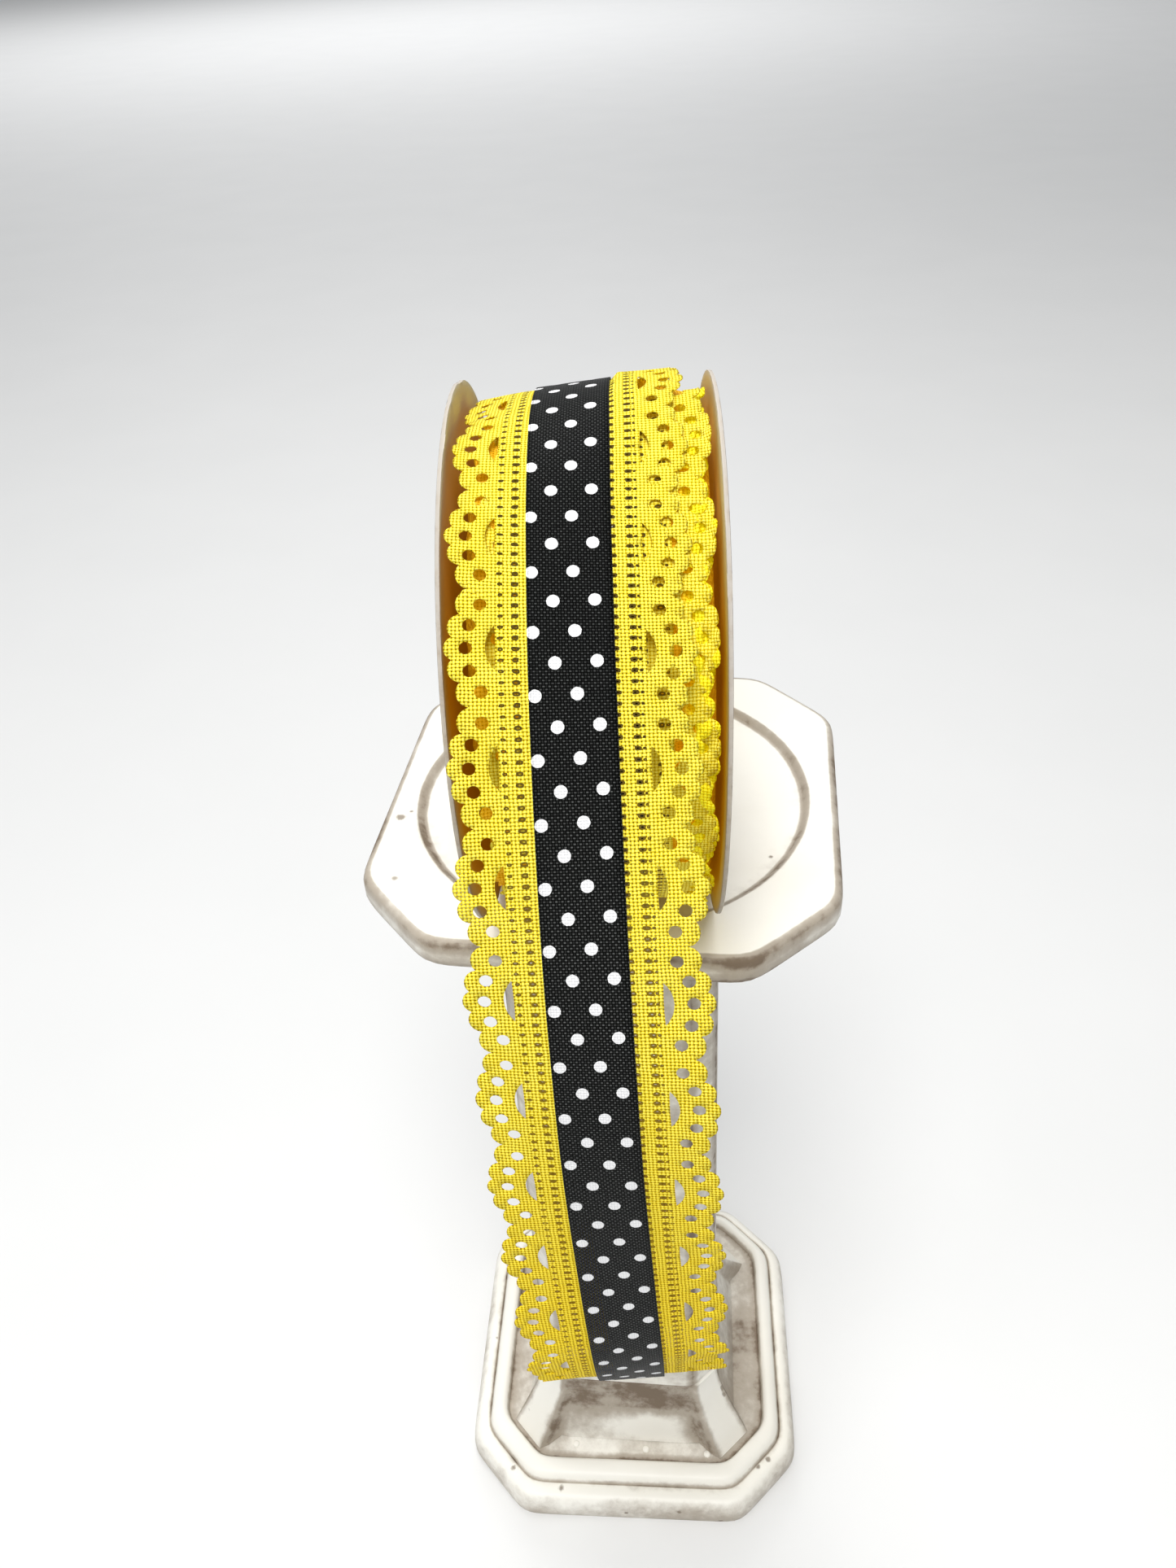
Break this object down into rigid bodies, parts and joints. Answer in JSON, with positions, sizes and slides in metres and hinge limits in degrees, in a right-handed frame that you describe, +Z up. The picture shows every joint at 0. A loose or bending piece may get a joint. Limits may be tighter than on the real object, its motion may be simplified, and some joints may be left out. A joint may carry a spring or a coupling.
{
  "type": "roll of lace-edged dotted ribbon on a pedestal stand",
  "caption": "Spool of dotted ribbon with lace edges, its loose end hanging forward, standing in the dished plate of an octagonal pedestal stand.",
  "frame": {"origin": "centre of the stand's underside, on the surface it stands on", "axes": "+Z up, -Y to the front where the loose end hangs, +X to the right seen from the front"},
  "size_m": [0.107, 0.1584, 0.3537],
  "materials": {
    "dotted_band": "plain woven black band with printed white dots",
    "lace_edging": "yellow open plain weave with cut eyelets and a scalloped edge",
    "wound_ribbon": "wound turns of the same ribbon",
    "card": "plain grey pressed card, matt",
    "painted_wood": "white paint rubbed through to brown at the edges"
  },
  "bodies": {
    "root": {"band_tail": "dotted_band", "lace_left_tail": "lace_edging", "lace_right_tail": "lace_edging", "wound_roll": "wound_ribbon", "flange_left": "card", "flange_right": "card", "stand_plate": "painted_wood", "stand_post": "painted_wood", "stand_foot": "painted_wood", "stand_base": "painted_wood"}
  },
  "joints": []
}
